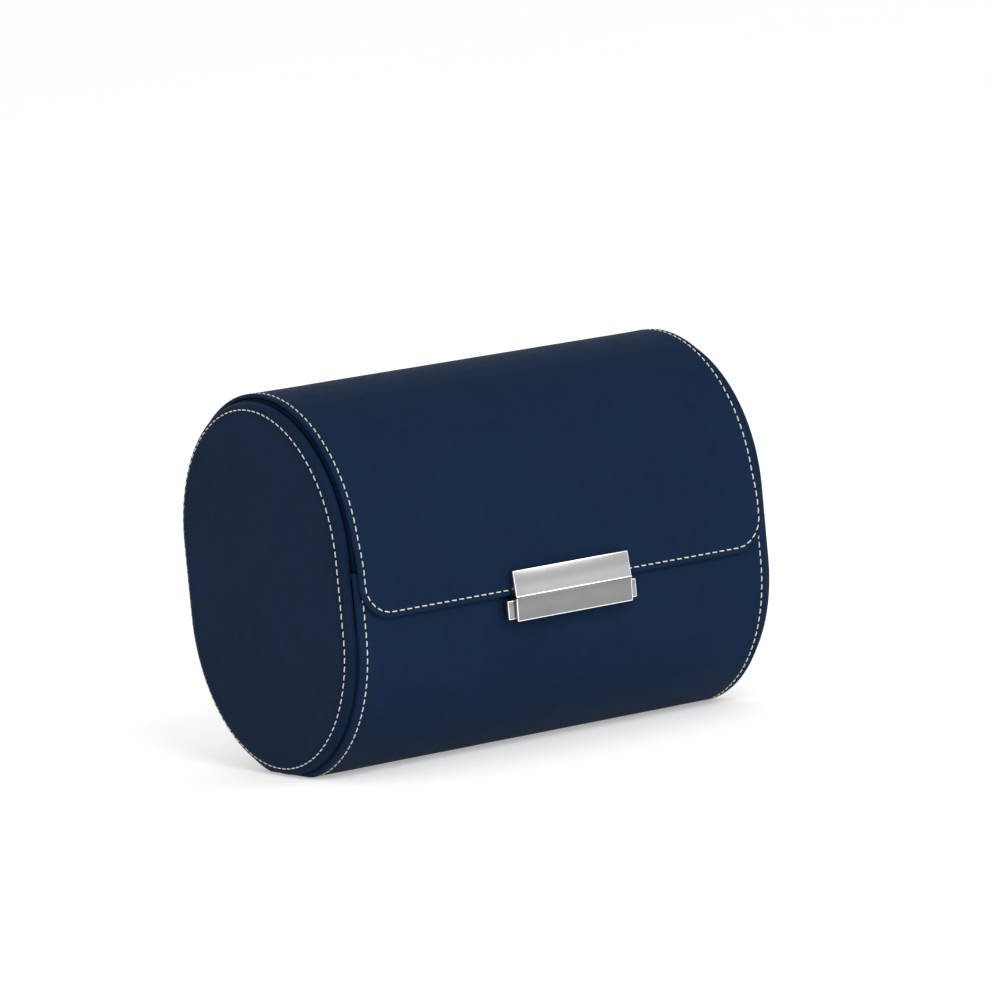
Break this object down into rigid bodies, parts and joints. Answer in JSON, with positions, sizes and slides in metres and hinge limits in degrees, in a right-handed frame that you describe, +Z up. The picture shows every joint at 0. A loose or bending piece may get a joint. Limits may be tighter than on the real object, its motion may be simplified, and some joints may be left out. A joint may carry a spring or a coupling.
{
  "type": "leather jewellery case",
  "caption": "Oval-section leather roll case with rigid ends, a hinged flap lid, a squeeze clasp, a ring tray and a bracelet pillow.",
  "frame": {"origin": "centre of the flat strip under the body, on the surface the case stands on", "axes": "+X along the roll, -Y towards the clasp, +Z up"},
  "size_m": [0.16, 0.1021, 0.1188],
  "materials": {
    "navy": "smooth grained calf",
    "board": "grey board",
    "suede": "suede cloth lining",
    "cushion": "suede cloth over foam",
    "silver": "polished",
    "steel": "satin",
    "brass": "plain"
  },
  "bodies": {
    "case": {"body_leather": "navy", "body_board": "board", "body_lining": "suede", "end_leather_left": "navy", "end_leather_right": "navy", "end_board_left": "board", "end_board_right": "board", "end_lining_left": "suede", "end_lining_right": "suede", "lid_rest_left": "navy", "lid_rest_right": "navy", "divider": "suede", "hinge_gusset": "suede", "lock_case": "silver", "lock_backplate": "steel", "lock_rivet_left": "brass", "lock_rivet_right": "brass", "spring_left": "steel", "spring_right": "steel", "tray_cleat_outer": "suede", "tray_cleat_inner": "suede"},
    "lid": {"lid_leather": "navy", "lid_board": "board", "lid_lining": "suede", "clasp_plate": "silver", "clasp_backplate": "steel", "clasp_rivet_left": "brass", "clasp_rivet_right": "brass"},
    "left_button": {"button_left": "silver"},
    "right_button": {"button_right": "silver"},
    "tray": {"ring_tray": "suede", "tray_pull": "navy", "ring_roll_1": "cushion", "ring_roll_2": "cushion", "ring_roll_3": "cushion", "ring_roll_4": "cushion", "ring_roll_5": "cushion"},
    "pillow": {"bracelet_pillow": "cushion"}
  },
  "joints": [
    {"name": "lid_hinge", "type": "hinge", "parent": "case", "child": "lid", "pos_m": [0, 0.0488, 0.07], "axis": [-1, 0, 0], "range_deg": [0, 110], "deforming": ["hinge_gusset"]},
    {"name": "left_button_press", "type": "slide", "parent": "case", "child": "left_button", "axis": [1, 0, 0], "range_m": [0, 0.0018], "stiffness_N_per_m": 400, "springref_m": -0.001, "deforming": ["spring_left"]},
    {"name": "right_button_press", "type": "slide", "parent": "case", "child": "right_button", "axis": [-1, 0, 0], "range_m": [0, 0.0018], "stiffness_N_per_m": 400, "springref_m": -0.001, "deforming": ["spring_right"]},
    {"name": "tray_lift", "type": "slide", "parent": "case", "child": "tray", "axis": [0, 0, 1], "range_m": [0, 0.012]},
    {"name": "pillow_lift", "type": "slide", "parent": "case", "child": "pillow", "axis": [0, 0, 1], "range_m": [0, 0.022]}
  ]
}
